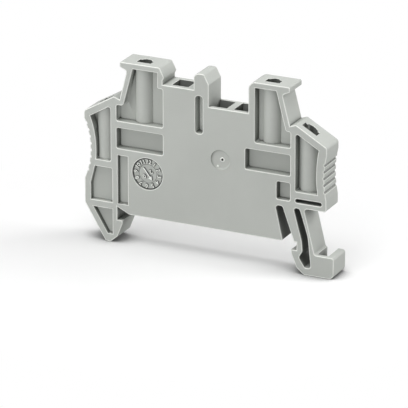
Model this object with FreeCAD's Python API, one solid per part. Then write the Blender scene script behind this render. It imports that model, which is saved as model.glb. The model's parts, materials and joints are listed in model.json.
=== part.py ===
"""End stop for a 35 mm top-hat mounting rail, moulded in one piece.

The frame has X across the rail, Y along the rail and Z up.
Its origin is on the rail's upper plane, above the rail's centre line, halfway through the
stop's thickness.
The front is the side towards -Y.  All sizes are in millimetres.
"""

import FreeCAD, Part
import math
import os

from FreeCAD import Vector

# Rail that the stop snaps onto
rail_width = 35.0
rail_lip = 1.0
side_clearance = 0.15
lip_clearance = 0.35
hook_reach = 0.9

# Whole body
thickness = 5.15
body_centre = -0.42
half_width = 23.72
foot_drop = 5.75
edge_break = 0.10
sharp = 0.0
small_round = 0.3
medium_round = 0.5
wide_round = 0.75
heavy_round = 1.0

# Towers that hold the marker strips
tower_top = 28.7
beak_half = 16.55
beak_height = 0.95
neck_half = 15.15
neck_drop = 1.55
tower_foot_half = 16.6
tower_round = 1.4
strip_catch = 0.3
catch_height = 1.35
left_tower_inner = -8.5
right_tower_inner = 8.2

# Ledges between the towers and the centre post
left_ledge = 25.6
right_ledge = 22.8
post_left = -2.4
post_right = 0.55
post_taper_width = 0.95
post_taper_height = 1.8

# Sloped shoulders outside the towers
valley_height = 21.6
peak_run = 1.15
peak_rise = 0.4
shoulder_angle = 30.0
shoulder_round = 0.7

# Finger grips below the shoulders
shoulder_side = 1.45
left_grip_bottom = 5.8
left_grip_hollow = 1.2
right_grip_bottom = 8.7
right_grip_hollow = 0.45
right_grip_end = 6.65
groove_radius = 0.30
groove_sink = 0.08
groove_pitch = 1.25
left_groove_drop = 0.9
left_groove_count = 8
right_groove_drop = 1.8
right_groove_count = 5

# Hook noses of both feet
nose_height = 0.65
nose_slope_run = 1.05
nose_slope_drop = 2.6
nose_chamfer_run = 1.4

# Fixed foot on the left
foot_tip_width = 1.0
foot_slope_top = 1.1
seat_relief_length = 2.4
seat_relief_height = 1.15

# Springy foot on the right
seat_end_inset = 2.65
spring_top = 6.52
inner_gap_inset = 4.15
inner_gap_width = 1.35
inner_leg_width = 2.15
inner_leg_notch = 0.5
outer_gap_width = 1.15
outer_gap_run = 1.65
outer_gap_bend = 1.4
outer_gap_lean = 0.62
outer_gap_hook = 0.65
outer_gap_hook_rise = 3.0
outer_gap_heel_rise = 1.8
outer_gap_toe_shift = 1.1
outer_gap_waist_shift = 0.53
outer_gap_waist_drop = 1.0
spring_bend_round = 6.0
spring_waist_round = 4.0
outer_leg_width = 0.88
outer_leg_run = 2.1
foot_reach = 7.2
foot_top = -1.75
foot_floor = 1.35
pocket_front_wall = 0.87
pocket_side_wall = 1.35
pocket_width = 2.1
pocket_floor = 1.2

# Ribs and pockets of the two faces
deep_pocket = 1.75
small_pocket = 1.45
shallow_pocket = 0.95
rib = 1.35
left_rib = 1.25
left_foot_rib = 0.97
right_rib = 1.05
tower_pocket_bottom = 17.55
tower_pocket_step = 20.5
tower_wall = 1.2
tower_roof = 1.05
left_inner_wall = 1.05
left_inner_wall_height = 0.85
right_inner_wall = 1.3
cross_pocket_height = 3.85
right_cross_pocket_width = 8.65
post_slot_left = -2.05
post_slot_width = 1.38
post_slot_height = 7.0
post_slot_drop = 1.05
small_pocket_width = 2.55
small_pocket_height = 3.3
strip_pocket_inset = 0.2
strip_pocket_width = 1.95
foot_pocket_bottom = 1.85
grip_pocket_bottom = 9.65
grip_roof = 1.58
left_grip_wall = 1.25
foot_pocket_notch = 0.8
right_grip_wall = 1.6
heel_wall = 1.4
heel_pocket_depth = 4.7
relief_slot_height = 0.74
relief_slot_wall = 0.9

# Columns in the pockets, and the marker peg holes in the columns
tower_column_inset = 2.67
tower_column_wall = 0.88
left_grip_column_inset = 3.64
right_grip_column_inset = 4.0
grip_column_wall = 0.88
peg_radius = 1.0
peg_slot_width = 2.75
peg_slot_front = 1.1
peg_slot_back = 0.3
peg_slot_floor = 0.33
peg_depth = 7.0
peg_lead = 3.0

# Cores that lighten the ledges
left_core_inset = 1.5
left_core_width = 3.15
left_core_wall = 0.95
right_core_width = 3.1
right_core_rib = 1.4
right_core_front_wall = 0.85
right_core_back_wall = 0.5
core_depth = 5.2

# Round recesses in the front face
dial_centre = (-11.55, 8.35)
dial_radius = 3.0
dial_depth = 0.4
gate_centre = (2.85, 13.25)
gate_radius = 1.87
gate_depth = 0.35

# Lines that several features share
half_thickness = thickness / 2
cut_over = 1.0
left_side = body_centre - half_width
right_side = body_centre + half_width
foot_bottom = -foot_drop
lip_reach = rail_width / 2 - hook_reach
lip_wall = rail_width / 2 + side_clearance
hook_top = -(rail_lip + lip_clearance)
nose_bottom = hook_top - nose_height
slope_bottom = nose_bottom - nose_slope_drop
slope_foot = lip_reach + nose_slope_run
nose_foot = slope_foot + nose_chamfer_run
neck_height = tower_top - neck_drop
peak_half = tower_foot_half + peak_run
peak_height = valley_height + peak_rise
tower_column_half = neck_half - tower_column_inset
tower_column_radius = peg_radius + tower_column_wall
left_grip_column_half = half_width - left_grip_column_inset
right_grip_column_half = half_width - right_grip_column_inset
grip_column_radius = peg_radius + grip_column_wall
inner_gap_left = lip_wall - inner_gap_inset
inner_leg_left = inner_gap_left + inner_gap_width
outer_gap_left = inner_leg_left + inner_leg_width
outer_gap_right = outer_gap_left + outer_gap_width
outer_leg_right = outer_gap_right + outer_leg_width
foot_right = lip_wall + foot_reach
inner_pocket_right = lip_wall - rib
cross_pocket_top = tower_pocket_bottom - rib
cross_pocket_bottom = cross_pocket_top - cross_pocket_height
lower_pocket_top = cross_pocket_bottom - rib
foot_pocket_top = grip_pocket_bottom - rib


def rounded_corner(before, corner, after, radius):
    """Start, middle and end of the arc that rounds a corner, with no middle for a sharp one."""
    to_before = before.sub(corner)
    to_after = after.sub(corner)
    room = 0.49 * min(to_before.Length, to_after.Length)
    to_before.normalize()
    to_after.normalize()
    half_angle = to_before.getAngle(to_after) / 2
    radius = min(radius, room * math.tan(half_angle))
    if radius < 0.01:
        return corner, None, corner
    setback = radius / math.tan(half_angle)
    middle = to_before.add(to_after)
    middle.normalize()
    reach = radius / math.sin(half_angle) - radius
    start = corner.add(to_before.multiply(setback))
    end = corner.add(to_after.multiply(setback))
    return start, corner.add(middle.multiply(reach)), end


def outline(corners):
    """Closed face in the plane Y = 0.

    Each corner is (x, z, radius).  A fourth number bows the side that leaves the corner:
    it is the arc's height, positive to the left of the way to the next corner.
    """
    points = [Vector(c[0], 0, c[1]) for c in corners]
    bows = [c[3] if len(c) > 3 else 0.0 for c in corners]
    rounded = []
    for i, corner in enumerate(corners):
        radius = 0.0 if bows[i] or bows[i - 1] else corner[2]
        after = points[(i + 1) % len(points)]
        rounded.append(rounded_corner(points[i - 1], points[i], after, radius))
    edges = []
    for i, (start, middle, end) in enumerate(rounded):
        if middle is not None:
            edges.append(Part.Arc(start, middle, end).toShape())
        next_start = rounded[(i + 1) % len(rounded)][0]
        if bows[i]:
            along = next_start.sub(end)
            side = Vector(-along.z, 0, along.x)
            side.normalize()
            crown = end.add(along.multiply(0.5)).add(side.multiply(bows[i]))
            edges.append(Part.Arc(end, crown, next_start).toShape())
        else:
            edges.append(Part.LineSegment(end, next_start).toShape())
    return Part.Face(Part.Wire(edges))


def side_directions(start, end, bow):
    """Directions in which a side, straight or bowed, leaves its first corner and reaches its last."""
    along = end.sub(start)
    swing = 2 * math.atan(bow / (along.Length / 2))
    along.normalize()
    left = Vector(-along.z, 0, along.x)
    ahead = along.multiply(math.cos(swing))
    aside = left.multiply(math.sin(swing))
    return ahead.add(aside), ahead.sub(aside)


def inset(corners, distance):
    """Corners of the outline a distance inside another, which runs clockwise seen from the front."""
    points = [Vector(c[0], 0, c[1]) for c in corners]
    following = points[1:] + points[:1]
    bows = [c[3] if len(c) > 3 else 0.0 for c in corners]
    directions = [side_directions(*side) for side in zip(points, following, bows)]
    moved = []
    radii = []
    for i, corner in enumerate(corners):
        before = directions[i - 1][1]
        after = directions[i][0]
        mitre = Vector(before.z + after.z, 0, -before.x - after.x)
        moved.append(points[i].add(mitre.multiply(distance / (1 + before.dot(after)))))
        convex = before.cross(after).y > 0
        growth = -distance if convex else distance
        radii.append(corner[2] + growth if corner[2] else 0.0)
    result = []
    for i, point in enumerate(moved):
        if not bows[i]:
            result.append((point.x, point.z, radii[i]))
            continue
        chord = following[i].sub(points[i])
        chord.normalize()
        shift = moved[(i + 1) % len(moved)].add(point).sub(points[i]).sub(following[i]).multiply(0.5)
        outward = shift.x * chord.z - shift.z * chord.x
        result.append((point.x, point.z, radii[i], bows[i] - distance + outward))
    return result


def slab(corners, front, back):
    """Solid with an outline's corners, from one Y to another."""
    face = outline(corners).translated(Vector(0, front, 0))
    return face.extrude(Vector(0, back - front, 0))


def tapered(corners, y, other_corners, other_y):
    """Solid that runs straight from one outline to another of as many sides."""
    wires = [
        outline(corners).OuterWire.translated(Vector(0, y, 0)),
        outline(other_corners).OuterWire.translated(Vector(0, other_y, 0)),
    ]
    return Part.makeLoft(wires, True, True)


def rectangle(left, right, bottom, top, radius):
    return [
        (left, bottom, radius),
        (left, top, radius),
        (right, top, radius),
        (right, bottom, radius),
    ]


def flared(corners, front, depth):
    """Cutter for a pocket in the front face, with its mouth widened by the edge break."""
    straight = slab(corners, front - cut_over, front + depth)
    mouth = tapered(inset(corners, -edge_break), front, corners, front + edge_break)
    return straight.fuse(mouth)


def upright(x, radius, bottom, top):
    """Vertical cylinder on the middle plane."""
    return Part.makeCylinder(radius, top - bottom, Vector(x, 0, bottom), Vector(0, 0, 1))


def shoulder_height(distance):
    """Height of the sloped shoulder at a distance from the body's centre."""
    return peak_height - (distance - peak_half) * math.tan(math.radians(shoulder_angle))


def grip_top():
    """Height of the upper end of both finger grips."""
    return shoulder_height(half_width) - shoulder_side


def hollow_depth(z, bottom, hollow):
    """How far a grip's hollow side lies inside its straight chord at a height."""
    half = (grip_top() - bottom) / 2
    radius = (half**2 + hollow**2) / (2 * hollow)
    off_middle = min(abs(z - bottom - half), half)
    return hollow - radius + math.sqrt(radius**2 - off_middle**2)


def left_foot_corners():
    return [
        (-lip_wall + seat_relief_length, 0.0, heavy_round),
        (-lip_wall, seat_relief_height, sharp),
        (-lip_wall, hook_top, sharp),
        (-lip_reach, hook_top, sharp),
        (-lip_reach, nose_bottom, sharp),
        (-slope_foot, slope_bottom, wide_round),
        (-nose_foot, foot_bottom, medium_round),
        (-nose_foot - foot_tip_width, foot_bottom, medium_round),
        (left_side, foot_slope_top, medium_round),
    ]


def left_grip_corners():
    return [
        (left_side, left_grip_bottom, 0.0, -left_grip_hollow),
        (left_side, grip_top(), 0.0),
        (left_side, shoulder_height(half_width), shoulder_round),
        (body_centre - peak_half, peak_height, medium_round),
    ]


def left_tower_corners():
    return [
        (body_centre - tower_foot_half, valley_height, sharp),
        (body_centre - neck_half, neck_height, medium_round),
        (body_centre - beak_half, tower_top - beak_height, sharp),
        (body_centre - beak_half, tower_top, small_round),
        (left_tower_inner - 2 * strip_catch, tower_top, medium_round),
        (left_tower_inner + strip_catch, left_ledge + catch_height, sharp),
        (left_tower_inner, left_ledge + catch_height - 2 * strip_catch, sharp),
        (left_tower_inner, left_ledge, sharp),
    ]


def post_corners():
    return [
        (post_left, left_ledge, sharp),
        (post_left, tower_top, heavy_round),
        (post_right - post_taper_width, tower_top, medium_round),
        (post_right, tower_top - post_taper_height, medium_round),
        (post_right, right_ledge, sharp),
    ]


def right_tower_corners():
    return [
        (right_tower_inner, right_ledge, sharp),
        (right_tower_inner, tower_top, tower_round),
        (body_centre + beak_half, tower_top, small_round),
        (body_centre + beak_half, tower_top - beak_height, sharp),
        (body_centre + neck_half, neck_height, medium_round),
        (body_centre + tower_foot_half, valley_height, sharp),
    ]


def right_grip_corners():
    return [
        (body_centre + peak_half, peak_height, medium_round),
        (right_side, shoulder_height(half_width), shoulder_round),
        (right_side, grip_top(), 0.0, -right_grip_hollow),
        (right_side, right_grip_bottom, 0.0),
        (right_side, right_grip_end, medium_round),
    ]


def right_foot_corners():
    return [
        (outer_leg_right, right_grip_end, medium_round),
        (outer_leg_right + outer_leg_run, foot_top, medium_round),
        (foot_right, foot_top, medium_round),
        (foot_right, foot_bottom, heavy_round),
        (nose_foot, foot_bottom, medium_round),
        (slope_foot, slope_bottom, wide_round),
        (lip_reach, nose_bottom, sharp),
        (lip_reach, hook_top, sharp),
        (lip_wall, hook_top, sharp),
        (lip_wall, side_clearance, sharp),
        (lip_wall - inner_leg_notch, side_clearance, sharp),
        (inner_leg_left, spring_top, medium_round),
        (inner_gap_left, spring_top, medium_round),
        (lip_wall - seat_end_inset, 0.0, small_round),
    ]


def body_corners():
    corners = left_foot_corners() + left_grip_corners() + left_tower_corners()
    corners += post_corners() + right_tower_corners() + right_grip_corners()
    corners += right_foot_corners()
    return corners


def outer_spring_gap():
    """Gap between the springy foot's two legs."""
    gap_floor = foot_bottom + foot_floor
    knee = outer_gap_right + outer_gap_run
    heel = outer_gap_right
    return [
        (outer_gap_left, spring_top, medium_round),
        (outer_gap_right, spring_top, medium_round),
        (knee, outer_gap_bend, spring_bend_round),
        (knee + outer_gap_lean, gap_floor, medium_round),
        (heel + outer_gap_toe_shift, gap_floor, medium_round),
        (heel, gap_floor + outer_gap_heel_rise, small_round),
        (heel + outer_gap_hook, gap_floor + outer_gap_hook_rise, small_round),
        (heel + outer_gap_waist_shift, outer_gap_bend - outer_gap_waist_drop, spring_waist_round),
    ]


def relief_slot():
    """Thin slot that frees the springy foot from the right grip."""
    left = inner_pocket_right + right_rib
    top = grip_pocket_bottom - rib
    bottom = top - relief_slot_height
    right = right_side - relief_slot_wall
    return rectangle(left, right, bottom, top, relief_slot_height / 2)


def release_pocket():
    """Pocket for a screwdriver blade, open at the top and at the back."""
    right = foot_right - pocket_side_wall
    bottom = foot_bottom + pocket_floor
    corners = rectangle(right - pocket_width, right, bottom, foot_top + cut_over, small_round)
    return slab(corners, -half_thickness + pocket_front_wall, half_thickness + cut_over)


def tower_pocket(side):
    """Outline of the pocket round a tower's column: side is -1 on the left and 1 on the right."""
    slant = (tower_foot_half - neck_half) / (neck_height - valley_height)
    top = tower_top - tower_roof
    outer_top = body_centre + side * (neck_half - tower_wall)
    outer_step = outer_top + side * slant * (top - tower_pocket_step)
    if side < 0:
        inner = left_tower_inner
        shelf = left_ledge - left_inner_wall_height
        return [
            (-lip_wall, tower_pocket_bottom, small_round),
            (-lip_wall, tower_pocket_step, small_round),
            (outer_step, tower_pocket_step, wide_round),
            (outer_top, top, sharp),
            (inner - left_inner_wall, top, sharp),
            (inner - left_inner_wall, shelf, small_round),
            (inner, shelf, small_round),
            (inner, tower_pocket_bottom, small_round),
        ]
    inner = right_tower_inner + right_inner_wall
    return [
        (inner, tower_pocket_bottom, small_round),
        (inner, top, sharp),
        (outer_top, top, sharp),
        (outer_step, tower_pocket_step, medium_round),
        (inner_pocket_right, tower_pocket_step, small_round),
        (inner_pocket_right, tower_pocket_bottom, small_round),
    ]


def grip_pocket(side):
    """Outline of the pocket round a grip's column, its outer side following the hollow grip."""
    if side < 0:
        inner = -lip_wall - left_rib
        wall, bottom, hollow = left_grip_wall, left_grip_bottom, left_grip_hollow
    else:
        inner = inner_pocket_right + right_rib
        wall, bottom, hollow = right_grip_wall, right_grip_bottom, right_grip_hollow
    outer_top = half_width - wall
    top = shoulder_height(outer_top) - grip_roof
    low = hollow_depth(grip_pocket_bottom, bottom, hollow)
    middle = hollow_depth((grip_pocket_bottom + top) / 2, bottom, hollow)
    bow = middle - low / 2
    inner_top = shoulder_height(side * (inner - body_centre)) - grip_roof
    corners = [
        (inner, grip_pocket_bottom, small_round),
        (inner, inner_top, small_round),
        (body_centre + side * outer_top, top, 0.0, -bow),
        (body_centre + side * (outer_top - low), grip_pocket_bottom, 0.0),
    ]
    if side < 0:
        corners = [corners[0], corners[3] + (-bow,), corners[2][:3], corners[1]]
    return corners


def foot_pocket():
    outer = left_side + left_grip_wall
    narrow = outer + hollow_depth(foot_pocket_top, left_grip_bottom, left_grip_hollow)
    inner = -lip_wall - left_foot_rib
    return [
        (outer, foot_pocket_bottom, sharp),
        (outer, left_grip_bottom - foot_pocket_notch, small_round),
        (narrow, foot_pocket_top, sharp),
        (inner, foot_pocket_top, small_round),
        (inner, foot_pocket_bottom, sharp),
    ]


def heel_pocket():
    """Outline of the pocket in the fixed foot, its outer side parallel to the sloping heel."""
    heel_tip = -nose_foot - foot_tip_width
    slant = (heel_tip - left_side) / (foot_slope_top - foot_bottom)
    top = foot_pocket_bottom - rib
    bottom = top - heel_pocket_depth
    outer_top = left_side + slant * (foot_slope_top - top) + heel_wall
    inner = -lip_wall - left_foot_rib
    return [
        (outer_top + slant * heel_pocket_depth, bottom, sharp),
        (outer_top, top, sharp),
        (inner, top, sharp),
        (inner, bottom, sharp),
    ]


def post_slot():
    top = left_ledge - post_slot_drop
    right = post_slot_left + post_slot_width
    return rectangle(post_slot_left, right, top - post_slot_height, top, medium_round)


def plain_pockets():
    """Outlines and depths of the pockets that hold no column."""
    left = -lip_wall
    right = inner_pocket_right
    cross = (cross_pocket_bottom, cross_pocket_top, small_round)
    small = (lower_pocket_top - small_pocket_height, lower_pocket_top, small_round)
    narrow = (foot_pocket_bottom, lower_pocket_top, sharp)
    strip = left + strip_pocket_inset
    return [
        (rectangle(left, left_tower_inner, *cross), deep_pocket),
        (rectangle(right - right_cross_pocket_width, right, *cross), deep_pocket),
        (post_slot(), deep_pocket),
        (rectangle(right - small_pocket_width, right, *small), small_pocket),
        (rectangle(strip, strip + strip_pocket_width, *narrow), shallow_pocket),
        (foot_pocket(), shallow_pocket),
        (heel_pocket(), shallow_pocket),
    ]


def grip_column_half(side):
    """Distance of a grip's column from the body's centre."""
    return left_grip_column_half if side < 0 else right_grip_column_half


def pockets_of_one_side():
    """Cutters for every pocket in the front face."""
    front = -half_thickness
    cutters = [flared(corners, front, depth) for corners, depth in plain_pockets()]
    for side in (-1, 1):
        columns = [
            (tower_pocket(side), tower_column_half, tower_column_radius),
            (grip_pocket(side), grip_column_half(side), grip_column_radius),
        ]
        for corners, half, radius in columns:
            column = upright(body_centre + side * half, radius, 0.0, tower_top + cut_over)
            cutters.append(flared(corners, front, deep_pocket).cut(column))
    return cutters


def peg_hole(x, mouth, roof, angle):
    """Round peg hole whose mouth is widened by a flat slot, cut down from above.

    The slot's floor stays above the pocket under the roof, at the same angle as the roof.
    """
    top = mouth + peg_lead
    floor = mouth - roof + peg_slot_floor
    reach = math.copysign(peg_slot_width / 2, x - body_centre)
    fall = peg_slot_width / 2 * math.tan(math.radians(angle))
    section = [
        (x - reach, floor + fall, sharp),
        (x - reach, top, sharp),
        (x + reach, top, sharp),
        (x + reach, floor - fall, sharp),
    ]
    slot = slab(section, -peg_slot_front, peg_slot_back)
    return upright(x, peg_radius, mouth - peg_depth, top).fuse(slot)


def peg_holes():
    holes = []
    for side in (-1, 1):
        tower_x = body_centre + side * tower_column_half
        grip_x = body_centre + side * grip_column_half(side)
        grip_mouth = shoulder_height(grip_column_half(side))
        holes.append(peg_hole(tower_x, tower_top, tower_roof, 0.0))
        holes.append(peg_hole(grip_x, grip_mouth, grip_roof, shoulder_angle))
    return holes


def core(left, width, top, front_wall, back_wall):
    """Square core cut down into a ledge."""
    corner = Vector(left, -half_thickness + front_wall, top - core_depth)
    return Part.makeBox(width, thickness - front_wall - back_wall, core_depth + cut_over, corner)


def ledge_cores():
    right_walls = (right_core_front_wall, right_core_back_wall)
    second = post_right + right_core_width + right_core_rib
    second_width = right_tower_inner - second
    left = post_left - left_core_inset - left_core_width
    return [
        core(left, left_core_width, left_ledge, left_core_wall, left_core_wall),
        core(post_right, right_core_width, right_ledge, *right_walls),
        core(second, second_width, right_ledge, *right_walls),
    ]


def grip_grooves(side, inward, drop, count, bottom, hollow):
    """Round grooves across a grip, sunk a little below its hollow side."""
    rods = []
    for i in range(count):
        z = grip_top() - drop - i * groove_pitch
        x = side + inward * (hollow_depth(z, bottom, hollow) - groove_sink)
        start = Vector(x, -half_thickness - cut_over, z)
        rods.append(Part.makeCylinder(groove_radius, thickness + 2 * cut_over, start, Vector(0, 1, 0)))
    return rods


def round_recess(centre, radius, depth):
    """Shallow round recess cut into the front face."""
    start = Vector(centre[0], -half_thickness - cut_over, centre[1])
    return Part.makeCylinder(radius, cut_over + depth, start, Vector(0, 1, 0))


def plate():
    """Solid of the body's outline, with its edges broken on both faces."""
    corners = body_corners()
    shoulder = half_thickness - edge_break
    front = tapered(inset(corners, edge_break), -half_thickness, corners, -shoulder)
    back = tapered(corners, shoulder, inset(corners, edge_break), half_thickness)
    return slab(corners, -shoulder, shoulder).fuse([front, back])


def end_stop_body():
    cutters = pockets_of_one_side()
    cutters += [cutter.mirror(Vector(0, 0, 0), Vector(0, 1, 0)) for cutter in cutters]
    for opening in (outer_spring_gap(), relief_slot()):
        front_half = flared(opening, -half_thickness, half_thickness)
        cutters += [front_half, front_half.mirror(Vector(0, 0, 0), Vector(0, 1, 0))]
    cutters.append(release_pocket())
    left = (left_groove_drop, left_groove_count, left_grip_bottom, left_grip_hollow)
    right = (right_groove_drop, right_groove_count, right_grip_bottom, right_grip_hollow)
    cutters += grip_grooves(left_side, 1, *left)
    cutters += grip_grooves(right_side, -1, *right)
    cutters.append(round_recess(dial_centre, dial_radius, dial_depth))
    cutters.append(round_recess(gate_centre, gate_radius, gate_depth))
    body = plate().cut(cutters)
    return body.cut(peg_holes() + ledge_cores()).removeSplitter()


def main():
    os.makedirs("parts", exist_ok=True)
    body = end_stop_body()
    solid = body.Solids[0]
    print("solids", len(body.Solids), "valid", solid.isValid(), "volume", round(solid.Volume, 1))
    print("faces", len(solid.Faces), "box", solid.BoundBox)
    solid.exportStep("parts/end_stop_body.step")


main()
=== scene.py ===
import json
import math

import bmesh
import bpy
from mathutils import Matrix, Vector


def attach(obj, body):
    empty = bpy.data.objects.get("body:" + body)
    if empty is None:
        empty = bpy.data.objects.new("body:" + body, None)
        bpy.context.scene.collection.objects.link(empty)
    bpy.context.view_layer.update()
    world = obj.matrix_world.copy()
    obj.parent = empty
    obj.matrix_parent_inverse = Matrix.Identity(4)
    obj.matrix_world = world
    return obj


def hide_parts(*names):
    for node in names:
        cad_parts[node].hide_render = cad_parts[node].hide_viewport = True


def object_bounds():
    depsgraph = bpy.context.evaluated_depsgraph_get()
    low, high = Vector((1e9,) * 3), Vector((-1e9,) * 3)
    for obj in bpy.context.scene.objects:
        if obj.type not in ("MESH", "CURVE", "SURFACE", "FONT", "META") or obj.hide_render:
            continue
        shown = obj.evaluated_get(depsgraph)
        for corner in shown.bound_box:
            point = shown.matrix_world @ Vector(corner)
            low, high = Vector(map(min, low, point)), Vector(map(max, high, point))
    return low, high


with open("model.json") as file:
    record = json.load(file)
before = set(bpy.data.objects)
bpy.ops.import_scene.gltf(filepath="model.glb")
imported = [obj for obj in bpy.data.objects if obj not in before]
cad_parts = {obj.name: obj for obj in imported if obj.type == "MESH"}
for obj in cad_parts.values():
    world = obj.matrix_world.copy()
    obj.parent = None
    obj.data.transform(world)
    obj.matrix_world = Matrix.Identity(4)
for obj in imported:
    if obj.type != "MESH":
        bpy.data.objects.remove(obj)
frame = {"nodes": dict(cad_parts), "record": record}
cad_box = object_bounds()

MM = 0.001

# Camera, which looks down on the marked face from the springy foot's side
CAMERA_AZIMUTH = math.radians(25.44)
CAMERA_ELEVATION = math.radians(20.59)
CAMERA_DISTANCE = 700 * MM
CAMERA_LENS = 346.3
CAMERA_TARGET = Vector((-1.59, 0.0, 3.40)) * MM

# Moulded body: where its front face lies, and the limits within which points are merged, triangles
# are joined into one flat face, and edges are shaded smooth
FRONT = cad_box[0].y
FACE_SLACK = 0.01 * MM
BODY = "end_stop_body"
MERGE_DISTANCE = 0.0005 * MM
FLAT_ANGLE = math.radians(0.6)
SHARP_ANGLE = math.radians(30)

# Its edges: the break of the square ones, which are told by their angle, and how wide and how far
# the rims of both faces roll off
EDGE_BREAK = 0.08 * MM
EDGE_ROLL_WIDTH = 0.07 * MM
EDGE_ROLL_DROP = 0.025 * MM
SQUARE_EDGE = (math.radians(70), math.radians(110))

# How squarely a face looks front or back: the slanted strips of the body's edges, which get a painted
# highlight, the flat faces, and the steep sides of the raised figures, which get painted shade
STRIP_FACING = (0.6, 0.8)
FLAT_FACING = 0.99
SHADED_SIDE_FACING = 0.4

# Places of the body's plastics in its list of materials: the face, the edges with a painted highlight, the
# peg holes, pockets' floors, cores and grooves with painted shade, and the post's slot with painted light and
# painted shade
FACE, HIGHLIT_EDGE, SHADED_HOLE, SHADED_FLOOR, SHADED_CORE, SHADED_GROOVE, LIT_AND_SHADED_SLOT = range(7)

# Columns round the peg holes: how far a column stands proud of its flat-sided stand-in and reaches
# into the roof over its pocket, and for each pair the radius, the lowest end, the roof's thickness
# and how steeply it falls outwards
COLUMN_PROUD = 0.004 * MM
COLUMN_SINK = 0.15 * MM
COLUMN_BORE = 1.15 * MM
SHOULDER_FALL = math.tan(math.radians(30))
TOWER_COLUMN = {"radius": 1.88 * MM, "bottom": 17.55 * MM, "roof": 1.05 * MM, "fall": 0.0}
SHOULDER_COLUMN = {"radius": 1.88 * MM, "bottom": 9.65 * MM, "roof": 1.58 * MM, "fall": SHOULDER_FALL}
COLUMN_OF_HOLE = {
    "left_tower_marker_hole": TOWER_COLUMN,
    "right_tower_marker_hole": TOWER_COLUMN,
    "left_shoulder_marker_hole": SHOULDER_COLUMN,
    "right_shoulder_marker_hole": SHOULDER_COLUMN,
}

# Peg holes, which get painted shade: how far their widened mouths reach, the rim that is left pale, and their
# depth
MOUTH_REACH = 1.75 * MM
MOUTH_RIM = 0.12 * MM
PEG_DEPTH = 7.5 * MM

# Distance range of the pockets' floors from the middle plane, whose faces get painted shade
FLOOR_RANGE = (0.75 * MM, 1.70 * MM)

# Cores in the ledges, which get painted shade, each with its left side, right side and top, and the slot in
# the centre post, which gets painted light and painted shade, with its sides and ends. Both start this far
# behind the faces
CORES = (
    (-7.06 * MM, -3.89 * MM, 25.4 * MM),
    (0.60 * MM, 3.66 * MM, 22.6 * MM),
    (5.04 * MM, 8.15 * MM, 22.6 * MM),
)
CORE_DEPTH = 5.2 * MM
POST_SLOT = (-2.2 * MM, -0.5 * MM, 17.9 * MM, 24.7 * MM)
FACE_WALL = 0.45 * MM

# Grooves of the finger grips, which get painted shade: how far out and between which heights they lie, the
# size that their strips stay under, and how far upwards a strip may face
GRIP_SIDE = 21.8 * MM
GRIP_RANGE = (6.8 * MM, 17.6 * MM)
GROOVE_STRIP = 0.24 * MM
GROOVE_TILT = 0.75

# Mould date dial in the round recess of the marked face
DIAL_CENTRE = Vector((-11.55, 8.35)) * MM
DIAL_RADIUS = 3.0 * MM
DIAL_DEPTH = 0.4 * MM
DIAL_RING_OUTER = 2.80 * MM
DIAL_RING_INNER = 1.78 * MM
INSERT_RADIUS = 1.74 * MM
DIAL_PLATE_HEIGHT = 0.10 * MM
NUMBER_RADIUS = 2.29 * MM
NUMBER_SIZE = 1.08 * MM
NUMBER_COUNT = 12
FIRST_NUMBER_TURN = math.radians(35)
ARROW_TURN = math.radians(142)
INSERT_FIGURE_OUT = 0.82 * MM
FIGURE_HEIGHT = 0.24 * MM
FIGURE_BEVEL = 0.025 * MM
SINK = 0.03 * MM

# Mark of the plastic's inlet in the other round recess, with its nub's and its blob's profile of radius and
# height in millimetres. The nub's rim and the blob carry painted highlights, and the nub's pit painted shade
GATE_CENTRE = Vector((2.85, 13.25)) * MM
GATE_RADIUS = 1.87 * MM
GATE_DEPTH = 0.35 * MM
GATE_HOLLOW_WIDTH = 0.38 * MM
GATE_HOLLOW_RISE = 0.8 * GATE_DEPTH
GATE_HOLLOW_STEPS = 6
NUB_CENTRE = Vector((3.10, 13.28)) * MM
NUB_PROFILE = (
    (0.0, -0.03),
    (0.46, -0.03),
    (0.44, 0.02),
    (0.36, 0.09),
    (0.28, 0.10),
    (0.23, 0.08),
    (0.20, 0.05),
    (0.0, 0.04),
)
PAINTED_PIT_RADIUS = 0.24 * MM
GLINT_BLOB_CENTRE = Vector((2.22, 11.93)) * MM
GLINT_BLOB_PROFILE = ((0.0, -0.03), (0.26, -0.03), (0.25, 0.02), (0.19, 0.07), (0.10, 0.10), (0.0, 0.11))

# A lighter and a darker tone of the body, which the mould's texture mixes at random, and the painted shade of
# its deep places, on the 0 to 255 screen scale
BODY_TONES = ((184, 187, 182), (178, 181, 176))
PAINTED_POCKET_SHADE = (78, 81, 76)

# The mould's texture: the sizes of its clouds, speckles and grain, the stretch of the noise that
# clouds and speckles take up, the clouds' share in the tone, what the speckles add to the faces'
# roughness, the grain's strength, and its depth on the faces, the dial and the smooth edges
CLOUD_SIZE = 9 * MM
CLOUD_RANGE = (0.35, 0.65)
CLOUD_SHARE = 0.55
SPECKLE_SIZE = 0.16 * MM
SPECKLE_RANGE = (0.30, 0.70)
SPECKLE_ROUGHNESS = 0.10
GRAIN_SIZE = 0.11 * MM
GRAIN_STRENGTH = 0.35
FACE_ROUGHNESS = 0.50
FACE_GRAIN = 0.012 * MM
DIAL_GRAIN = 0.006 * MM
SMOOTH_GRAIN = 0.004 * MM

# Painted shade in deep pockets: how far the plastic looks for walls round it, and how open a place is at the
# dark and at the pale end, where the pockets' side walls get painted shade and where they don't
POCKET_REACH = 4.5 * MM
WALLED_POCKET = (0.05, 0.55)
PALE_POCKET = (0.05, 0.28)

# Painted shade on side walls: a face is less and less of a wall the more squarely it looks front or back or,
# though never fully, up or down, and the more open its place is
LEVEL_FACING = (0.25, 0.60)
UPWARD_FACING = (0.50, 0.95, 0.0, 0.92)
WALL_OPENNESS = (0.20, 0.85)

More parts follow.
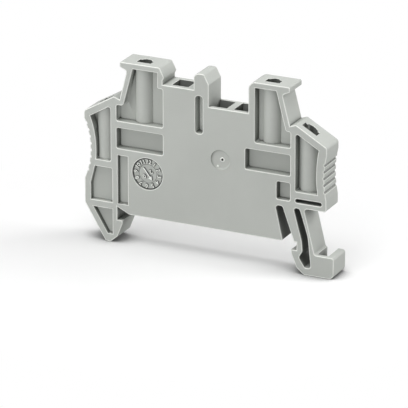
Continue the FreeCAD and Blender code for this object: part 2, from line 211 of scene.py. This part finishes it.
# Painted shade in corners: how far the plastic looks for walls, how open a place is at the dark and at the
# pale end, and how much of the plastic's own tone the dark end of the painted shade keeps
FACE_CORNER = (0.7 * MM, 0.40, 0.90, 0.30)
SLOT_CORNER = (0.3 * MM, 0.40, 0.90, 0.45)
GROOVE_CORNER = (0.8 * MM, 0.74, 0.94, 0.0)
FIGURE_CORNER = (0.3 * MM, 0.58, 0.96, 0.10)

# White room and floor: the floor's tone as seen, in the painted shadow round the feet and as it lights the
# object, how far and between which degrees of openness that painted shadow spreads, and the two distances
# from the middle between which the floor turns white
AMBIENT = 0.04
FLOOR_SIZE = 4000 * MM
FLOOR_GAP = 0.02 * MM
FLOOR_TONE = 0.92
PAINTED_SHADOW_TONE = 0.20
BOUNCE_TONE = 0.60
PAINTED_SHADOW_REACH = 5.0 * MM
PAINTED_SHADOW_RANGE = (0.25, 0.95)
FLOOR_FADE = (28 * MM, 60 * MM)

# Place that the lamps look at
LAMP_AIM = Vector((0.0, 0.0, 10.0)) * MM


class Value:
    """A number or a colour inside a material, which can be used in sums."""

    def __init__(self, graph, socket):
        self.graph = graph
        self.socket = socket

    def __add__(self, other):
        return self.graph.maths("ADD", self, other)

    __radd__ = __add__

    def __mul__(self, other):
        return self.graph.maths("MULTIPLY", self, other)

    __rmul__ = __mul__


class Graph:
    """The nodes of one material or of the world."""

    def __init__(self, owner):
        owner.use_nodes = True
        self.owner = owner
        self.tree = owner.node_tree
        self.tree.nodes.clear()

    def node(self, kind, settings, sockets, output=0):
        """One of a new node's outputs, after its settings are made and its sockets set or linked."""
        made = self.tree.nodes.new(kind)
        for name, value in settings.items():
            setattr(made, name, value)
        for name, value in sockets.items():
            if isinstance(value, Value):
                self.tree.links.new(value.socket, made.inputs[name])
            else:
                made.inputs[name].default_value = value
        return Value(self, made.outputs[output])

    def maths(self, operation, first, second):
        return self.node("ShaderNodeMath", {"operation": operation}, {0: first, 1: second})

    def place(self):
        """Where a point of the surface lies, in metres from the origin."""
        return self.node("ShaderNodeTexCoord", {}, {}, "Object")

    def noise(self, size, detail, roughness=0.5):
        """Even noise whose lumps are about this size."""
        settings = {"noise_dimensions": "3D", "normalize": True}
        sockets = {"Vector": self.place(), "Scale": 1 / size, "Detail": detail, "Roughness": roughness}
        return self.node("ShaderNodeTexNoise", settings, sockets, "Fac")

    def span(self, value, low, high, to_low=0.0, to_high=1.0):
        """The value carried smoothly from one range to another."""
        sockets = {"Value": value, "From Min": low, "From Max": high, "To Min": to_low, "To Max": to_high}
        return self.node("ShaderNodeMapRange", {"interpolation_type": "SMOOTHSTEP"}, sockets)

    def openness(self, reach, alone=True):
        """How open a place is within a reach: 1 on a flat face and near 0 in a deep corner."""
        settings = {"samples": 8, "only_local": alone}
        return self.node("ShaderNodeAmbientOcclusion", settings, {"Distance": reach}, "AO")

    def facing(self, axis):
        """How squarely a surface faces one way or the other along an axis: 1 squarely, 0 side on."""
        normal = self.node("ShaderNodeTexCoord", {}, {}, "Normal")
        along = self.node("ShaderNodeVectorMath", {"operation": "DOT_PRODUCT"}, {0: normal, 1: axis}, "Value")
        return self.node("ShaderNodeMath", {"operation": "ABSOLUTE"}, {0: along})

    def blend(self, factor, first, second):
        """A colour between two others.

        The node has sockets of the same name for numbers and vectors, so its colours go by place.
        """
        first_colour, second_colour, mixed_colour = 6, 7, 2
        sockets = {"Factor": factor, first_colour: first, second_colour: second}
        return self.node("ShaderNodeMix", {"data_type": "RGBA"}, sockets, mixed_colour)

    def finish(self, kind, shader):
        out = self.tree.nodes.new(kind)
        self.tree.links.new(shader.socket, out.inputs["Surface"])
        return self.owner


def linear(red, green, blue):
    """Colour sockets hold linear light: this turns a colour on the 0 to 255 screen scale into it."""
    def channel(level):
        share = level / 255
        return share / 12.92 if share <= 0.04045 else ((share + 0.055) / 1.055) ** 2.4
    return (channel(red), channel(green), channel(blue), 1.0)


def grey(level):
    """A neutral colour in linear light."""
    return (level, level, level, 1.0)


def moulded_plastic(
    name,
    tones=BODY_TONES,
    roughness=FACE_ROUGHNESS,
    grain_depth=FACE_GRAIN,
    corner=FACE_CORNER,
    walls=True,
):
    """Light grey polyamide with the fine eroded texture of its mould.

    Deep places, corners and grooves get painted shade from ambient occlusion, and so do the pockets' side
    walls if walls is set.
    """
    light, shade = (linear(*tone) for tone in tones)
    graph = Graph(bpy.data.materials.new(name))
    clouds = graph.span(graph.noise(CLOUD_SIZE, detail=3.0), *CLOUD_RANGE)
    speckle = graph.span(graph.noise(SPECKLE_SIZE, detail=2.0), *SPECKLE_RANGE)
    tint = clouds * CLOUD_SHARE + speckle * (1 - CLOUD_SHARE)
    grain = graph.noise(GRAIN_SIZE, detail=3.0, roughness=0.6)
    reach, low, high, least = corner
    # Painted shade: the colour darkens towards the pocket tone where ambient occlusion finds a place closed
    # in
    open_wide = graph.openness(POCKET_REACH)
    free_of_painted_shade = graph.span(open_wide, *(WALLED_POCKET if walls else PALE_POCKET))
    free_of_painted_shade = free_of_painted_shade * graph.span(graph.openness(reach, walls), low, high, least, 1.0)
    if walls:
        level = graph.span(graph.facing((0.0, 1.0, 0.0)), *LEVEL_FACING)
        upward = graph.span(graph.facing((0.0, 0.0, 1.0)), *UPWARD_FACING)
        unwalled = graph.maths("MAXIMUM", level, graph.span(open_wide, *WALL_OPENNESS))
        free_of_painted_shade = free_of_painted_shade * graph.maths("MAXIMUM", unwalled, upward)
    sockets = {
        "Base Color": graph.blend(free_of_painted_shade, linear(*PAINTED_POCKET_SHADE), graph.blend(tint, shade, light)),
        "Roughness": roughness + SPECKLE_ROUGHNESS * speckle,
        "Normal": graph.node(
            "ShaderNodeBump",
            {},
            {"Strength": GRAIN_STRENGTH, "Distance": grain_depth, "Height": grain},
        ),
        "IOR": 1.5,
        "Specular IOR Level": 0.45,
    }
    return graph.finish("ShaderNodeOutputMaterial", graph.node("ShaderNodeBsdfPrincipled", {}, sockets))


# The body's plastic, with painted shade in its deep places, corners and side walls
def body_plastic_with_painted_shade():
    return moulded_plastic("light_grey_plastic_with_painted_shade")


def edge_highlight_plastic():
    """The mould's rounded edges come out smoother than the faces, and their paler tone is a painted
    highlight.
    """
    tones = ((234, 236, 231), (226, 228, 223))
    return moulded_plastic("painted_highlight_edge_plastic", tones, roughness=0.34, grain_depth=SMOOTH_GRAIN)


def column_gap_shade_plastic():
    """The columns take no painted shade from the pockets' side walls, only painted shade in the narrow gaps
    between them and the walls round them.
    """
    return moulded_plastic("column_gap_shade_plastic", corner=SLOT_CORNER, walls=False)


def floor_shade_plastic():
    """The pockets' floors are painted darker than the face, a painted shade for the light they miss as they
    lie deep.
    """
    tones = ((175, 178, 173), (170, 173, 168))
    return moulded_plastic("painted_shade_pocket_floor_plastic", tones, corner=SLOT_CORNER, walls=False)


def slot_light_and_shade_plastic():
    """The slot in the centre post is shallow: its plastic is painted paler than the face as painted light,
    with painted shade in its corners.
    """
    tones = ((192, 195, 190), (186, 189, 184))
    return moulded_plastic("slot_light_and_shade_plastic", tones, corner=SLOT_CORNER, walls=False)


def core_shade_plastic():
    """The cores in the ledges are deep and narrow, and their plastic is painted dark as painted shade."""
    tones = ((106, 108, 105), (100, 102, 99))
    return moulded_plastic("core_shade_plastic", tones)


def groove_shade_plastic():
    """The grips' grooves get painted shade towards their bottoms."""
    return moulded_plastic("groove_shade_plastic", corner=GROOVE_CORNER)


def dial_floor_shade_plastic():
    """The dial's ring and insert are a little smoother than the face, and get painted shade round the feet of
    the figures.
    """
    tones = ((182, 185, 180), (174, 177, 172))
    name = "dial_floor_shade_plastic"
    return moulded_plastic(name, tones, grain_depth=DIAL_GRAIN, corner=FIGURE_CORNER, walls=False)


def dial_figure_highlight_plastic():
    """The dial's raised figures and the inlet's blob are smooth, painted pale as a painted highlight, with
    painted shade at their feet.
    """
    tones = ((240, 242, 237), (230, 233, 227))
    return moulded_plastic(
        "dial_figure_highlight_plastic",
        tones,
        roughness=0.36,
        grain_depth=SMOOTH_GRAIN,
        corner=FIGURE_CORNER,
        walls=False,
    )


def gap_shade_plastic():
    """Painted shade for the dial's gaps and for the steep sides of its figures, which lie in shade."""
    tones = ((60, 62, 60), (48, 50, 48))
    return moulded_plastic("painted_shade_plastic", tones, roughness=0.55, grain_depth=SMOOTH_GRAIN)


def hole_shade_plastic():
    """The peg holes are painted dark, a painted shade that makes them look deeper than their widened mouths
    are.
    """
    tones = ((84, 86, 83), (70, 72, 69))
    return moulded_plastic("hole_shade_plastic", tones, roughness=0.55, grain_depth=SMOOTH_GRAIN)


def pit_shade_plastic():
    """Painted shade that makes the pit in the inlet's nub nearly black."""
    tones = ((14, 14, 14), (10, 10, 10))
    return moulded_plastic("painted_shade_pit_plastic", tones, roughness=0.60, grain_depth=SMOOTH_GRAIN)


def new_piece(name, shape, materials):
    """Turns a bmesh into a piece of the object."""
    mesh = bpy.data.meshes.new(name)
    shape.to_mesh(mesh)
    shape.free()
    piece = bpy.data.objects.new(name, mesh)
    bpy.context.scene.collection.objects.link(piece)
    for material in materials:
        mesh.materials.append(material)
    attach(piece, "root")
    return piece


def soften(piece, sharp_angle):
    """Smooth shading that keeps flat faces flat and lets the broken edges catch the light."""
    piece.data.shade_smooth()
    piece.data.set_sharp_from_angle(angle=sharp_angle)
    weighted = piece.modifiers.new("even faces", "WEIGHTED_NORMAL")
    weighted.keep_sharp = True
    weighted.weight = 60


def is_broken_edge(face):
    """True for the narrow slanted strips along the edges of both faces, which get the painted highlight."""
    low, high = STRIP_FACING
    return low < abs(face.normal.y) < high


def is_flat_face(face):
    """True for the parts of the front and the back face."""
    height = abs(face.calc_center_median().y)
    return abs(face.normal.y) > FLAT_FACING and height > abs(FRONT) - FACE_SLACK


def is_square_edge(edge):
    """True for an edge of about 90 degrees that stands out, such as a hole's mouth."""
    low, high = SQUARE_EDGE
    return len(edge.link_faces) == 2 and low < edge.calc_face_angle_signed() < high


def roll_face_edges(shape):
    """Lets the rims of both flat faces roll off a little into their edge breaks, which get the painted
    highlight of the edges.
    """
    flats = [face for face in shape.faces if is_flat_face(face)]
    rim = {vert for face in flats for vert in face.verts if not all(is_flat_face(f) for f in vert.link_faces)}
    rolled = bmesh.ops.inset_region(
        shape,
        faces=flats,
        thickness=EDGE_ROLL_WIDTH,
        use_boundary=True,
        use_even_offset=True,
    )
    for face in rolled["faces"]:
        face.material_index = HIGHLIT_EDGE
    for vert in rim:
        vert.co.y -= math.copysign(EDGE_ROLL_DROP, vert.co.y)
    for vert in shape.verts:
        vert.co.y = max(FRONT, min(-FRONT, vert.co.y))


def is_in_peg_hole(spot):
    """True below the rim of a peg hole: in its mouth, above the pocket's roof, or down its bore."""
    for mount in frame["record"]["mounts"]:
        column = COLUMN_OF_HOLE.get(mount["name"])
        if column is None:
            continue
        aside = spot - Vector(mount["pos_m"])
        fall = math.copysign(column["fall"], spot.x)
        depth = -fall * aside.x - aside.z
        far = aside.xy.length
        if MOUTH_RIM < depth and (far < COLUMN_BORE or far < MOUTH_REACH and depth < column["roof"]):
            return depth < PEG_DEPTH
    return False


def is_in_core(spot):
    """True inside the square cores that are sunk into both ledges."""
    if abs(spot.y) > abs(FRONT) - FACE_WALL:
        return False
    return any(left < spot.x < right and top - CORE_DEPTH < spot.z < top for left, right, top in CORES)


def is_in_post_slot(spot):
    """True below the rim of the upright slot in the centre post."""
    left, right, low, high = POST_SLOT
    return left < spot.x < right and low < spot.z < high and abs(spot.y) < abs(FRONT) - FACE_WALL


def is_pocket_floor(face):
    """True for the floors of the pockets of both faces."""
    low, high = FLOOR_RANGE
    return abs(face.normal.y) > FLAT_FACING and low < abs(face.calc_center_median().y) < high


def is_groove_strip(face):
    """True for the narrow strips of the round grooves of the finger grips."""
    spot = face.calc_center_median()
    low, high = GRIP_RANGE
    if abs(spot.x) < GRIP_SIDE or not low < spot.z < high or face.normal.z > GROOVE_TILT:
        return False
    if face.material_index == HIGHLIT_EDGE:
        return False
    heights = [vert.co.z for vert in face.verts]
    aside = [vert.co.x for vert in face.verts]
    return math.hypot(max(heights) - min(heights), max(aside) - min(aside)) < GROOVE_STRIP


def is_gate_rim(spot):
    """True for the inlet's recess and its rim, which is too shallow to catch the light, so it gets no painted
    highlight.
    """
    return (spot.xz - GATE_CENTRE).length < GATE_RADIUS + EDGE_BREAK + EDGE_ROLL_WIDTH


def plastic_of(face):
    """Which of the body's plastics a face shows: painted shade in the peg holes, cores, pockets' floors and
    grooves, painted light and painted shade in the post's slot, and the painted highlight on the edges but
    round the inlet's recess.
    """
    spot = face.calc_center_median()
    if is_in_peg_hole(spot):
        return SHADED_HOLE
    if is_in_core(spot):
        return SHADED_CORE
    if is_in_post_slot(spot):
        return LIT_AND_SHADED_SLOT
    if is_pocket_floor(face):
        return SHADED_FLOOR
    if is_groove_strip(face):
        return SHADED_GROOVE
    return FACE if is_gate_rim(spot) else face.material_index


def moulded_body():
    """The body itself, with its last square edges broken as a mould leaves them, the breaks given a painted
    highlight and the deep places painted shade.
    """
    shape = bmesh.new()
    shape.from_mesh(frame["nodes"][BODY].data)
    bmesh.ops.remove_doubles(shape, verts=shape.verts, dist=MERGE_DISTANCE)
    bmesh.ops.dissolve_limit(
        shape,
        angle_limit=FLAT_ANGLE,
        use_dissolve_boundaries=False,
        verts=shape.verts,
        edges=shape.edges,
        delimit=set(),
    )
    # The slanted strips along the edges, and the breaks of the square edges below, get the painted highlight
    for face in shape.faces:
        face.material_index = HIGHLIT_EDGE if is_broken_edge(face) else FACE
    bmesh.ops.bevel(
        shape,
        geom=[edge for edge in shape.edges if is_square_edge(edge)],
        offset=EDGE_BREAK,
        offset_type="WIDTH",
        affect="EDGES",
        segments=1,
        profile=0.5,
        clamp_overlap=False,
        material=HIGHLIT_EDGE,
    )
    roll_face_edges(shape)
    for face in shape.faces:
        face.material_index = plastic_of(face)
    plastics = [body_plastic_with_painted_shade(), edge_highlight_plastic(), hole_shade_plastic(), floor_shade_plastic(), core_shade_plastic()]
    plastics += [groove_shade_plastic(), slot_light_and_shade_plastic()]
    piece = new_piece("moulded_body", shape, plastics)
    soften(piece, SHARP_ANGLE)
    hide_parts(BODY)


def marker_columns():
    """Round columns that hold the marker pegs, each a tube from its pocket's floor up into the roof."""
    shape = bmesh.new()
    for mount in frame["record"]["mounts"]:
        column = COLUMN_OF_HOLE.get(mount["name"])
        if column is None:
            continue
        x, y, mouth = mount["pos_m"]
        bottom = column["bottom"] - COLUMN_PROUD
        top = mouth - column["roof"] + COLUMN_SINK
        outer = column["radius"] + COLUMN_PROUD
        tube = bmesh.new()
        profile = [(COLUMN_BORE, bottom), (outer, bottom), (outer, top), (COLUMN_BORE, top)]
        turned(tube, profile, steps=96, place=Matrix.Identity(4))
        fall = math.copysign(column["fall"], x)
        for vert in tube.verts:
            if vert.co.z > (bottom + top) / 2:
                vert.co.z -= fall * vert.co.x
        bmesh.ops.translate(tube, vec=(x, y, 0), verts=tube.verts)
        made = bpy.data.meshes.new("column")
        tube.to_mesh(made)
        tube.free()
        shape.from_mesh(made)
        bpy.data.meshes.remove(made)
    soften(new_piece("marker_columns", shape, [column_gap_shade_plastic()]), SHARP_ANGLE)


def in_recess(centre, depth, turn=0.0, out=0.0, height=0.0):
    """Place over a recess's floor: x to the right, y up and z outwards, then turned and moved."""
    floor_spot = Matrix.Translation((centre.x, FRONT + depth, centre.y))
    stand = Matrix.Rotation(math.radians(90), 4, "X")
    aim = Matrix.Rotation(-turn, 4, "Z")
    return floor_spot @ stand @ aim @ Matrix.Translation((0, out, height))


def turned(shape, profile, steps, place):
    """Spins a profile of (radius, height) points about its axis and puts the result in its place."""
    corners = [shape.verts.new((radius, 0, height)) for radius, height in profile]
    sides = [shape.edges.new(pair) for pair in zip(corners, corners[1:])]
    off_axis = profile[0][0] > 0
    if off_axis:
        sides.append(shape.edges.new((corners[-1], corners[0])))
    bmesh.ops.spin(
        shape,
        geom=corners + sides,
        cent=(0, 0, 0),
        axis=(0, 0, 1),
        angle=math.tau,
        steps=steps,
        use_merge=True,
    )
    bmesh.ops.remove_doubles(shape, verts=shape.verts, dist=MERGE_DISTANCE)
    bmesh.ops.recalc_face_normals(shape, faces=shape.faces)
    bmesh.ops.transform(shape, matrix=place, verts=shape.verts)


def dial_ring():
    """Flat ring that carries the numbers, with a narrow groove left round both its edges."""
    shape = bmesh.new()
    profile = [
        (DIAL_RING_INNER, -SINK),
        (DIAL_RING_OUTER, -SINK),
        (DIAL_RING_OUTER, DIAL_PLATE_HEIGHT - FIGURE_BEVEL),
        (DIAL_RING_OUTER - FIGURE_BEVEL, DIAL_PLATE_HEIGHT),
        (DIAL_RING_INNER + FIGURE_BEVEL, DIAL_PLATE_HEIGHT),
        (DIAL_RING_INNER, DIAL_PLATE_HEIGHT - FIGURE_BEVEL),
    ]
    turned(shape, profile, steps=72, place=in_recess(DIAL_CENTRE, DIAL_DEPTH))
    soften(new_piece("dial_ring", shape, [dial_floor_shade_plastic()]), SHARP_ANGLE)


def dial_insert():
    """Round insert in the middle of the dial, which the mould maker turns to the year's part."""
    shape = bmesh.new()
    profile = [
        (0.0, -SINK),
        (INSERT_RADIUS, -SINK),
        (INSERT_RADIUS, DIAL_PLATE_HEIGHT - FIGURE_BEVEL),
        (INSERT_RADIUS - FIGURE_BEVEL, DIAL_PLATE_HEIGHT),
        (0.0, DIAL_PLATE_HEIGHT),
    ]
    turned(shape, profile, steps=60, place=in_recess(DIAL_CENTRE, DIAL_DEPTH))
    soften(new_piece("dial_insert", shape, [dial_floor_shade_plastic()]), SHARP_ANGLE)


def dial_gap_shade():
    """Floor of the narrow grooves round the ring and the insert, painted dark as painted shade in the gap."""
    shape = bmesh.new()
    height = 0.006 * MM
    profile = [(0.0, -SINK), (DIAL_RADIUS, -SINK), (DIAL_RADIUS, height), (0.0, height)]
    turned(shape, profile, steps=60, place=in_recess(DIAL_CENTRE, DIAL_DEPTH))
    soften(new_piece("dial_gap_shade", shape, [gap_shade_plastic()]), SHARP_ANGLE)


def raised_figure(shape, words, size, place):
    """Adds plain raised figures to a bmesh, centred on a place."""
    curve = bpy.data.curves.new("figures", "FONT")
    curve.body = words
    curve.size = size
    curve.align_x = "CENTER"
    curve.align_y = "CENTER"
    curve.extrude = (FIGURE_HEIGHT + SINK) / 2 - FIGURE_BEVEL
    curve.bevel_depth = FIGURE_BEVEL
    curve.bevel_resolution = 0
    curve.resolution_u = 3
    holder = bpy.data.objects.new("figures", curve)
    bpy.context.scene.collection.objects.link(holder)
    bpy.context.view_layer.update()
    mesh = bpy.data.meshes.new_from_object(holder)
    mesh.transform(place @ Matrix.Translation((0, 0, (FIGURE_HEIGHT - SINK) / 2)))
    shape.from_mesh(mesh)
    bpy.data.objects.remove(holder)
    bpy.data.curves.remove(curve)
    bpy.data.meshes.remove(mesh)


def paint_side_shade(shape):
    """Paints shade on the steep sides of raised figures, which lie in each other's shade."""
    shape.normal_update()
    for face in shape.faces:
        if abs(face.normal.y) < SHADED_SIDE_FACING:
            face.material_index = 1


def dial_numbers():
    """Plain numbers round the ring, and one plain figure on each side of the arrow."""
    shape = bmesh.new()
    for i in range(NUMBER_COUNT):
        turn = FIRST_NUMBER_TURN + i * math.tau / NUMBER_COUNT
        place = in_recess(DIAL_CENTRE, DIAL_DEPTH, turn, NUMBER_RADIUS, DIAL_PLATE_HEIGHT)
        raised_figure(shape, str(i + 1), NUMBER_SIZE, place)
    for aside, words in ((-1, "2"), (1, "0")):
        turn = ARROW_TURN + aside * math.radians(90)
        upright = Matrix.Rotation(aside * math.radians(90), 4, "Z")
        place = in_recess(DIAL_CENTRE, DIAL_DEPTH, turn, INSERT_FIGURE_OUT, DIAL_PLATE_HEIGHT)
        raised_figure(shape, words, NUMBER_SIZE, place @ upright)
    bmesh.ops.remove_doubles(shape, verts=shape.verts, dist=MERGE_DISTANCE)
    paint_side_shade(shape)
    # Pale figures as a painted highlight, with painted shade on their steep sides
    new_piece("dial_numbers", shape, [dial_figure_highlight_plastic(), gap_shade_plastic()])


def dial_arrow():
    """Raised arrow across the insert, which points to one of the numbers."""
    shape = bmesh.new()
    half_shaft = 0.12 * MM
    half_head = 0.42 * MM
    tail = -1.35 * MM
    neck = 0.70 * MM
    tip = 1.45 * MM
    corners = [
        (-half_shaft, tail),
        (half_shaft, tail),
        (half_shaft, neck),
        (half_head, neck),
        (0.0, tip),
        (-half_head, neck),
        (-half_shaft, neck),
    ]
    base = shape.faces.new([shape.verts.new((x, y, -SINK)) for x, y in corners])
    raised = bmesh.ops.extrude_face_region(shape, geom=[base])
    tops = [item for item in raised["geom"] if isinstance(item, bmesh.types.BMVert)]
    bmesh.ops.translate(shape, vec=(0.0, 0.0, FIGURE_HEIGHT + SINK), verts=tops)
    bmesh.ops.recalc_face_normals(shape, faces=shape.faces)
    upper = [edge for edge in shape.edges if all(vert in tops for vert in edge.verts)]
    bmesh.ops.bevel(
        shape,
        geom=upper,
        offset=FIGURE_BEVEL,
        affect="EDGES",
        segments=1,
        profile=0.5,
        material=-1,
    )
    place = in_recess(DIAL_CENTRE, DIAL_DEPTH, ARROW_TURN, 0.0, DIAL_PLATE_HEIGHT)
    bmesh.ops.transform(shape, matrix=place, verts=shape.verts)
    paint_side_shade(shape)
    # Pale arrow as a painted highlight, with painted shade on its steep sides
    new_piece("dial_arrow", shape, [dial_figure_highlight_plastic(), gap_shade_plastic()])


def gate_hollow():
    """Hollow curve that joins the wall and the floor of the inlet's recess."""
    shape = bmesh.new()
    inner = GATE_RADIUS - GATE_HOLLOW_WIDTH
    outer = GATE_RADIUS + SINK
    profile = [(inner, -SINK), (outer, -SINK), (outer, GATE_HOLLOW_RISE)]
    for i in range(GATE_HOLLOW_STEPS + 1):
        swing = math.radians(90) * i / GATE_HOLLOW_STEPS
        height = GATE_HOLLOW_RISE * (1 - math.sin(swing))
        profile.append((inner + GATE_HOLLOW_WIDTH * math.cos(swing), height))
    turned(shape, profile, steps=60, place=in_recess(GATE_CENTRE, GATE_DEPTH))
    soften(new_piece("gate_hollow", shape, [body_plastic_with_painted_shade()]), SHARP_ANGLE)


def in_metres(profile):
    """Profile of radius and height, written in millimetres."""
    return [(radius * MM, height * MM) for radius, height in profile]


def gate_nub():
    """Small nub left where the plastic was fed in, with a painted highlight on its rim round a pit painted
    dark as painted shade.
    """
    shape = bmesh.new()
    turned(shape, in_metres(NUB_PROFILE), steps=24, place=Matrix.Identity(4))
    # Faces in the pit take the painted shade, the others the painted highlight of the edges
    for face in shape.faces:
        middle = face.calc_center_median()
        face.material_index = int(middle.xy.length < PAINTED_PIT_RADIUS and middle.z > 0)
    bmesh.ops.transform(shape, matrix=in_recess(NUB_CENTRE, GATE_DEPTH), verts=shape.verts)
    soften(new_piece("gate_nub", shape, [edge_highlight_plastic(), pit_shade_plastic()]), SHARP_ANGLE)


def gate_glint_blob():
    """Smooth low blob on the floor of the inlet's recess, pale as a painted highlight."""
    shape = bmesh.new()
    turned(shape, in_metres(GLINT_BLOB_PROFILE), steps=20, place=in_recess(GLINT_BLOB_CENTRE, GATE_DEPTH))
    soften(new_piece("gate_glint_blob", shape, [dial_figure_highlight_plastic()]), SHARP_ANGLE)


def floor():
    """Pale floor under the feet, with a painted shadow round them, which turns into the white background away
    from the object.
    """
    shape = bmesh.new()
    bmesh.ops.create_grid(shape, x_segments=1, y_segments=1, size=FLOOR_SIZE)
    low = cad_box[0].z - FLOOR_GAP
    bmesh.ops.translate(shape, vec=(0, 0, low), verts=shape.verts)
    mesh = bpy.data.meshes.new("floor")
    shape.to_mesh(mesh)
    shape.free()
    piece = bpy.data.objects.new("floor", mesh)
    bpy.context.scene.collection.objects.link(piece)
    graph = Graph(bpy.data.materials.new("pale_floor"))
    away = graph.node("ShaderNodeVectorMath", {"operation": "LENGTH"}, {0: graph.place()}, "Value")
    by_camera = graph.node("ShaderNodeLightPath", {}, {}, "Is Camera Ray")
    fade = graph.span(away, *FLOOR_FADE) * by_camera
    # Painted shadow: the floor darkens where ambient occlusion finds the feet close by
    clear = graph.span(graph.openness(PAINTED_SHADOW_REACH, alone=False), *PAINTED_SHADOW_RANGE)
    seen = graph.blend(clear, grey(PAINTED_SHADOW_TONE), grey(FLOOR_TONE))
    tone = graph.blend(by_camera, grey(BOUNCE_TONE), seen)
    matt = graph.node("ShaderNodeBsdfDiffuse", {}, {"Color": tone})
    white = graph.node("ShaderNodeEmission", {}, {"Color": grey(1.0), "Strength": 1.0})
    mixed = graph.node("ShaderNodeMixShader", {}, {0: fade, 1: matt, 2: white})
    mesh.materials.append(graph.finish("ShaderNodeOutputMaterial", mixed))


def white_room():
    """Even white light from all round, seen as plain white behind the object."""
    world = bpy.data.worlds.new("white_room")
    bpy.context.scene.world = world
    graph = Graph(world)
    paths = graph.tree.nodes.new("ShaderNodeLightPath").outputs
    seen = Value(graph, paths["Is Camera Ray"]) + Value(graph, paths["Is Glossy Ray"])
    seen = seen + Value(graph, paths["Is Transmission Ray"])
    strength = AMBIENT + (1 - AMBIENT) * seen
    graph.finish(
        "ShaderNodeOutputWorld",
        graph.node("ShaderNodeBackground", {}, {"Color": grey(1.0), "Strength": strength}),
    )


def looking(azimuth, elevation):
    """Unit vector from the object towards a place seen at these angles."""
    return Vector((
        math.sin(azimuth) * math.cos(elevation),
        -math.cos(azimuth) * math.cos(elevation),
        math.sin(elevation),
    ))


def lamp(name, azimuth, elevation, distance, size, power, shadows=True):
    """Square soft lamp at angles in degrees. One without shadows only lifts the tone of the faces."""
    light = bpy.data.lights.new(name, "AREA")
    light.shape = "SQUARE"
    light.size = size
    light.energy = power
    light.use_shadow = shadows
    holder = bpy.data.objects.new(name, light)
    bpy.context.scene.collection.objects.link(holder)
    away = looking(math.radians(azimuth), math.radians(elevation))
    holder.location = LAMP_AIM + away * distance
    holder.rotation_euler = (-away).to_track_quat("-Z", "Y").to_euler()


def studio_lamps():
    wide = {"distance": 350 * MM, "size": 250 * MM}
    narrow = {"distance": 300 * MM, "size": 200 * MM}
    lamp("overhead_softbox", azimuth=10, elevation=82, power=0.76, **wide)
    lamp("front_softbox", azimuth=-8, elevation=55, power=0.22, **narrow)
    lamp("front_fill", azimuth=-5, elevation=12, power=0.08, shadows=False, **narrow)
    lamp("low_left_fill", azimuth=-40, elevation=15, power=0.40, shadows=False, **narrow)
    lamp("right_rim_softbox", azimuth=118, elevation=28, power=0.82, **wide)
    lamp("back_softbox", azimuth=-165, elevation=35, power=0.08, **wide)


def camera():
    """Long lens far from the object, so that its parallel edges stay nearly parallel."""
    data = bpy.data.cameras.new("camera")
    data.lens = CAMERA_LENS
    data.sensor_width = 36
    data.clip_start = 0.01
    data.clip_end = 10
    holder = bpy.data.objects.new("camera", data)
    bpy.context.scene.collection.objects.link(holder)
    away = looking(CAMERA_AZIMUTH, CAMERA_ELEVATION)
    holder.location = CAMERA_TARGET + away * CAMERA_DISTANCE
    holder.rotation_euler = (-away).to_track_quat("-Z", "Y").to_euler()
    bpy.context.scene.camera = holder


bpy.context.scene.view_settings.view_transform = "Standard"
camera()
white_room()
studio_lamps()
floor()
moulded_body()
marker_columns()
dial_gap_shade()
dial_ring()
dial_insert()
dial_numbers()
dial_arrow()
gate_hollow()
gate_nub()
gate_glint_blob()
